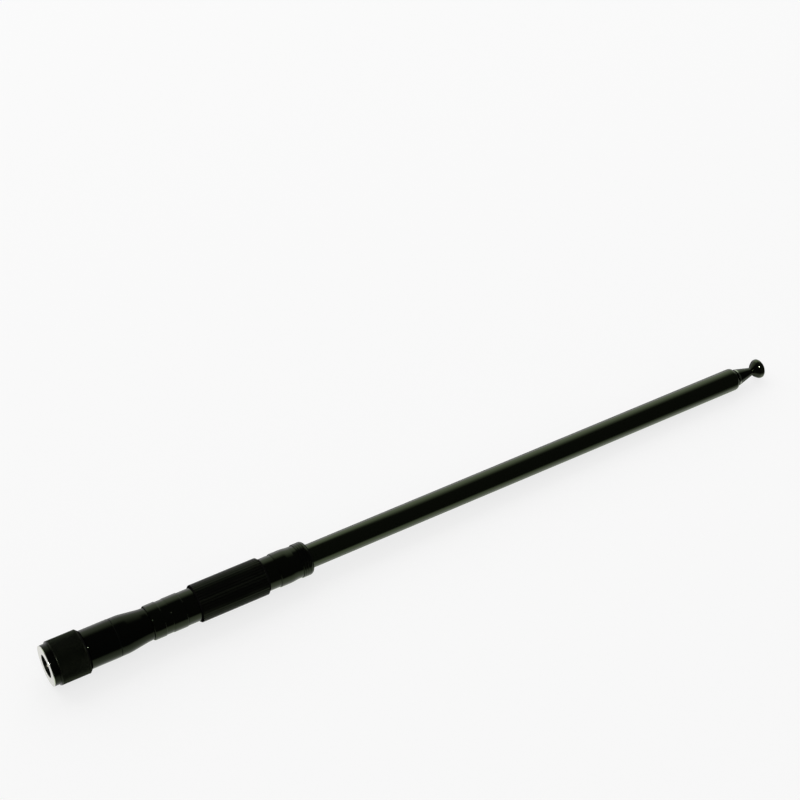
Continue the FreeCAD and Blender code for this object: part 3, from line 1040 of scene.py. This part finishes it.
def makeTipCap():
    front, rear = span("tip_cap")
    seat = front + tip["shankLength"]
    neck, rim = seat + tip["coneEnd"], seat + tip["rimAt"]
    bevelLength, bevelDepth = tip["shankBevel"]
    edge = tip["button"] - tip["buttonEdge"]
    stations = [
        (front, tip["shank"] - bevelDepth),
        (front + bevelLength, tip["shank"]),
        (seat, tip["shank"]),
        (seat, tip["base"]),
        (seat + tip["rim"], tip["base"]),
    ]
    stations += [(neck + along, tip["neck"] + wider) for along, wider in tip["neckCurve"]]
    stations += [(rim + along, tip["button"] - down) for along, down in tip["rimCurve"]]
    stations += [(rim + tip["rimWidth"] * 0.5, tip["button"]), (rim + tip["rimWidth"], edge)]
    ball = (tip["button"] ** 2 + tip["dome"] ** 2) / (2 * tip["dome"])
    wide = math.asin(edge / ball)
    for step in range(1, tip["domeSteps"] + 1):
        angle = wide * (1 - step / tip["domeSteps"])
        stations.append((rear - ball * (1 - math.cos(angle)), ball * math.sin(angle)))
    piece = turnPiece("tipCap", stations, "coatBlack", closed=False)
    low, high = seat - 2 * hairsBreadth, seat + tip["rim"] + 2 * hairsBreadth
    buttonFrom = rim + tip["rimCurve"][0][0]
    paintFaces(piece, "bareRim", lambda c: low < c.x < high and math.hypot(c.y, c.z) > 1.1 * tip["shank"])
    paintFaces(piece, "buttonBlack", lambda c: c.x > buttonFrom)
    standFor(piece, "section_5", "black_metal", "tip_cap")


makeTipCap()
print("tip made")

# inner solids that stay as they are get their real metal or resin
innerFinishes = {
    "retaining_ring": "bronze",
    "matching_coil": "winding",
    "mast_foot": "brass",
    "mast_bush": "whiteInsulator",
    "slide_spring_1": "bronze",
    "slide_spring_2": "bronze",
    "slide_spring_3": "bronze",
    "slide_spring_4": "bronze",
}
for node, finish in innerFinishes.items():
    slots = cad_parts[node].data.materials
    if slots:
        slots[0] = paint[finish]
    else:
        slots.append(paint[finish])

# studio: sizes and places in metres, angles in degrees
studio = {
    "floorSize": 12.0,
    "floorColour": (0.24, 0.24, 0.24, 1),
    "floorRoughness": 0.9,
    "floorLift": 0.76,
    "room": 0.5,
}
white = (1, 1, 1, 1)


# the floor lies under the sleeve's rear edge and the outer tube's mouth
def floorLean():
    front = span("coupling_sleeve")[1] - sleeve["rearBevel"]
    rear = span("mast_tube_1")[1] - mast["mouth"]
    lean = math.atan2(sleeve["outer"] - mast["radius"], rear - front)
    return front, -sleeve["outer"], lean


# 1 for what the camera, the gloss or a clear piece sees, 0 for what only lights the object
def seenDirectly(tree, place):
    path = addNode(tree, "ShaderNodeLightPath", place)
    first = addNode(tree, "ShaderNodeMath", (place[0] + 200, place[1]), operation="MAXIMUM")
    second = addNode(tree, "ShaderNodeMath", (place[0] + 400, place[1]), operation="MAXIMUM")
    link(tree, path.outputs["Is Camera Ray"], first.inputs[0])
    link(tree, path.outputs["Is Glossy Ray"], first.inputs[1])
    link(tree, first.outputs["Value"], second.inputs[0])
    link(tree, path.outputs["Is Transmission Ray"], second.inputs[1])
    return second.outputs["Value"]


# a plane on the leaning floor, lifted by some millimetres
def layPlane(name, size, centre, lift):
    front, level, lean = floorLean()
    bpy.ops.object.select_all(action="DESELECT")
    bpy.ops.mesh.primitive_plane_add(size=1)
    piece = bpy.context.object
    piece.name = name
    piece.scale = (size[0], size[1], 1)
    piece.rotation_euler = (0, -lean, 0)
    height = (level + lift) * mm + (centre[0] - front * mm) * math.tan(lean)
    piece.location = (centre[0], centre[1], height)
    bpy.ops.object.transform_apply(location=True, rotation=True, scale=True)
    return piece


def makeFloor():
    floor = layPlane("paleFloor", (studio["floorSize"], studio["floorSize"]), (0, 0), 0)
    material = bpy.data.materials.new("paleFloor")
    material.use_nodes = True
    tree = material.node_tree
    shader = tree.nodes["Principled BSDF"]
    shader.inputs["Base Color"].default_value = studio["floorColour"]
    shader.inputs["Roughness"].default_value = studio["floorRoughness"]
    shader.inputs["Specular IOR Level"].default_value = 0.0
    shader.inputs["Emission Color"].default_value = white
    lift = addNode(tree, "ShaderNodeMath", (-100, -300), operation="MULTIPLY")
    lift.inputs[1].default_value = studio["floorLift"]
    link(tree, seenDirectly(tree, (-800, -300)), lift.inputs[0])
    link(tree, lift.outputs["Value"], shader.inputs["Emission Strength"])
    floor.data.materials.append(material)


def makeRoom():
    world = bpy.data.worlds.new("whiteRoom")
    bpy.context.scene.world = world
    world.use_nodes = True
    tree = world.node_tree
    background = tree.nodes["Background"]
    background.inputs["Color"].default_value = white
    level = addNode(tree, "ShaderNodeMapRange", (-200, 0))
    level.inputs["To Min"].default_value = studio["room"]
    level.inputs["To Max"].default_value = 1.0
    link(tree, seenDirectly(tree, (-900, 0)), level.inputs["Value"])
    link(tree, level.outputs["Result"], background.inputs["Strength"])


softBox = {
    "shape": "RECTANGLE",
    "place": (0.25, 1.5, 1.25),
    "aim": (0.12, 0, 0),
    "size": (3.6, 2.0),
    "power": 26,
}
# a small lamp over the camera makes the dots on the rounded edges
spark = {
    "shape": "DISK",
    "place": (-0.09, -0.31, 0.48),
    "aim": (0.03, 0, 0),
    "size": (0.03, 0.03),
    "power": 2.0,
}


def hangLamp(name, look):
    bpy.ops.object.light_add(type="AREA", location=look["place"])
    lamp = bpy.context.object
    lamp.name = name
    lamp.data.shape = look["shape"]
    lamp.data.size, lamp.data.size_y = look["size"]
    lamp.data.energy = look["power"]
    away = Vector(look["place"]) - Vector(look["aim"])
    lamp.rotation_euler = away.to_track_quat("Z", "Y").to_euler()
    return lamp


def hangLamps():
    hangLamp("softBox", softBox).visible_glossy = False  # the gloss shows the card instead
    hangLamp("cameraSpark", spark).visible_diffuse = False


def seenInGlossOnly(piece):
    piece.visible_camera = False
    piece.visible_diffuse = False
    piece.visible_transmission = False
    piece.visible_volume_scatter = False
    piece.visible_shadow = False


# a glow that fades from dark to light along a value the caller links
def fadeMaterial(name, dark, light):
    material = bpy.data.materials.new(name)
    material.use_nodes = True
    tree = material.node_tree
    tree.nodes.remove(tree.nodes["Principled BSDF"])
    glow = addNode(tree, "ShaderNodeEmission", (300, 0))
    place = addNode(tree, "ShaderNodeTexCoord", (-900, 0))
    parts = addNode(tree, "ShaderNodeSeparateXYZ", (-700, 0))
    fade = addNode(tree, "ShaderNodeMapRange", (0, 0), interpolation_type="SMOOTHSTEP")
    fade.inputs["To Min"].default_value = dark
    fade.inputs["To Max"].default_value = light
    glow.inputs["Color"].default_value = card["colour"]
    link(tree, place.outputs["Object"], parts.inputs["Vector"])
    link(tree, fade.outputs["Result"], glow.inputs["Strength"])
    link(tree, glow.outputs["Emission"], tree.nodes["Material Output"].inputs["Surface"])
    return material, tree, parts, fade


card = {
    "around": 180,
    "endAround": 64,
    "radius": 0.9,
    "from": -0.8,
    "to": 2.2,
    "edges": (-4, 168),
    "baseFade": 112,
    "mastFade": 90,
    "baseTo": 0.40,
    "mastFrom": 0.45,
    "fadeEnd": 145,
    "dark": 0.04,
    "light": 1.0,
    "colour": (0.88, 1.0, 0.78, 1),
}


# a curved card round the camera, seen only in gloss, glows dark and fades to white at the top: painted
# reflection on the object's gloss
def makeCard():
    bpy.ops.object.select_all(action="DESELECT")
    bpy.ops.mesh.primitive_cylinder_add(
        vertices=card["around"],
        radius=card["radius"],
        depth=card["to"] - card["from"],
        end_fill_type="NOTHING",
        location=((card["to"] + card["from"]) / 2, 0, 0),
        rotation=(0, math.radians(90), 0),
    )
    piece = bpy.context.object
    piece.name = "paintedReflectionCard"
    bpy.ops.object.transform_apply(location=True, rotation=True, scale=True)
    bpy.ops.object.mode_set(mode="EDIT")
    bpy.ops.mesh.select_all(action="DESELECT")
    bpy.ops.object.mode_set(mode="OBJECT")
    for face in piece.data.polygons:
        angle = math.degrees(math.atan2(face.center.z, -face.center.y))
        face.select = not card["edges"][0] < angle < card["edges"][1]
    bpy.ops.object.mode_set(mode="EDIT")
    bpy.ops.mesh.delete(type="FACE")
    bpy.ops.object.mode_set(mode="OBJECT")
    material, tree, parts, fade = fadeMaterial("paintedReflectionCard", card["dark"], card["light"])
    flip = addNode(tree, "ShaderNodeMath", (-500, -100), operation="MULTIPLY")
    flip.inputs[1].default_value = -1
    angle = addNode(tree, "ShaderNodeMath", (-300, 0), operation="ARCTAN2")
    start = addNode(tree, "ShaderNodeMapRange", (-300, -200))
    start.inputs["From Min"].default_value = card["baseTo"]
    start.inputs["From Max"].default_value = card["mastFrom"]
    start.inputs["To Min"].default_value = math.radians(card["baseFade"])
    start.inputs["To Max"].default_value = math.radians(card["mastFade"])
    link(tree, parts.outputs["X"], start.inputs["Value"])
    link(tree, start.outputs["Result"], fade.inputs["From Min"])
    fade.inputs["From Max"].default_value = math.radians(card["fadeEnd"])
    link(tree, parts.outputs["Y"], flip.inputs[0])
    link(tree, parts.outputs["Z"], angle.inputs[0])
    link(tree, flip.outputs["Value"], angle.inputs[1])
    link(tree, angle.outputs["Value"], fade.inputs["Value"])
    piece.data.materials.append(material)
    seenInGlossOnly(piece)


# both ends of the curved card are closed by discs that glow dark, seen only in gloss: painted dark
# reflection
def makeCardEnds():
    for number, place in enumerate((card["from"], card["to"])):
        bpy.ops.object.select_all(action="DESELECT")
        bpy.ops.mesh.primitive_circle_add(
            vertices=card["endAround"],
            radius=card["radius"],
            fill_type="NGON",
            location=(place, 0, 0),
            rotation=(0, math.radians(90), 0),
        )
        piece = bpy.context.object
        piece.name = f"reflectionCardEnd{number}"
        bpy.ops.object.transform_apply(location=True, rotation=True, scale=True)
        material, tree, parts, fade = fadeMaterial(piece.name, card["dark"], card["dark"])
        link(tree, parts.outputs["Z"], fade.inputs["Value"])
        piece.data.materials.append(material)
        seenInGlossOnly(piece)


apron = {
    "near": 0.015,
    "full": 0.027,
    "taper": 0.06,
    "edge": 0.006,
    "far": 0.9,
    "from": -0.8,
    "to": 2.2,
    "lift": 0.1,
    "light": 0.9,
}


# the card goes on along the floor in front of the object, seen only in gloss, glowing dark away from the
# object and light near it: painted reflection
def makeApron():
    depth = apron["far"] - apron["edge"]
    length, middle = apron["to"] - apron["from"], (apron["from"] + apron["to"]) / 2
    centre = (middle, -apron["edge"] - depth / 2)
    piece = layPlane("paintedReflectionApron", (length, depth), centre, apron["lift"])
    material, tree, parts, fade = fadeMaterial("paintedReflectionApron", card["dark"], apron["light"])
    fade.inputs["From Min"].default_value = -apron["full"]
    fade.inputs["From Max"].default_value = -apron["near"]
    across = addNode(tree, "ShaderNodeMath", (-400, 0), operation="MULTIPLY_ADD")
    across.inputs[1].default_value = -apron["taper"]
    link(tree, parts.outputs["X"], across.inputs[0])
    link(tree, parts.outputs["Y"], across.inputs[2])
    link(tree, across.outputs["Value"], fade.inputs["Value"])
    piece.data.materials.append(material)
    seenInGlossOnly(piece)


strip = {
    "centre": 0.011,
    "half": 0.015,
    "soft": 0.004,
    "from": 0.002,
    "to": 2.2,
    "lift": 0.12,
    "light": 0.9,
}


# a dark glowing strip on the floor close to the object, seen only in gloss: painted shade of the floor in
# the reflections of steps and bevels that face along the axis
def makeStrip():
    length, middle = strip["to"] - strip["from"], (strip["from"] + strip["to"]) / 2
    size, centre = (length, strip["half"] * 2), (middle, strip["centre"])
    piece = layPlane("paintedShadeStrip", size, centre, strip["lift"])
    material, tree, parts, fade = fadeMaterial("paintedShadeStrip", card["dark"], strip["light"])
    fade.inputs["From Min"].default_value = strip["half"] - strip["soft"]
    fade.inputs["From Max"].default_value = strip["half"]
    offset = addNode(tree, "ShaderNodeMath", (-500, 0), operation="SUBTRACT")
    offset.inputs[1].default_value = strip["centre"]
    distance = addNode(tree, "ShaderNodeMath", (-300, 0), operation="ABSOLUTE")
    link(tree, parts.outputs["Y"], offset.inputs[0])
    link(tree, offset.outputs["Value"], distance.inputs[0])
    link(tree, distance.outputs["Value"], fade.inputs["Value"])
    piece.data.materials.append(material)
    seenInGlossOnly(piece)


makeFloor()
makeRoom()
hangLamps()
makeCard()
makeCardEnds()
makeApron()
makeStrip()
print("studio made")

bpy.context.view_layer.update()
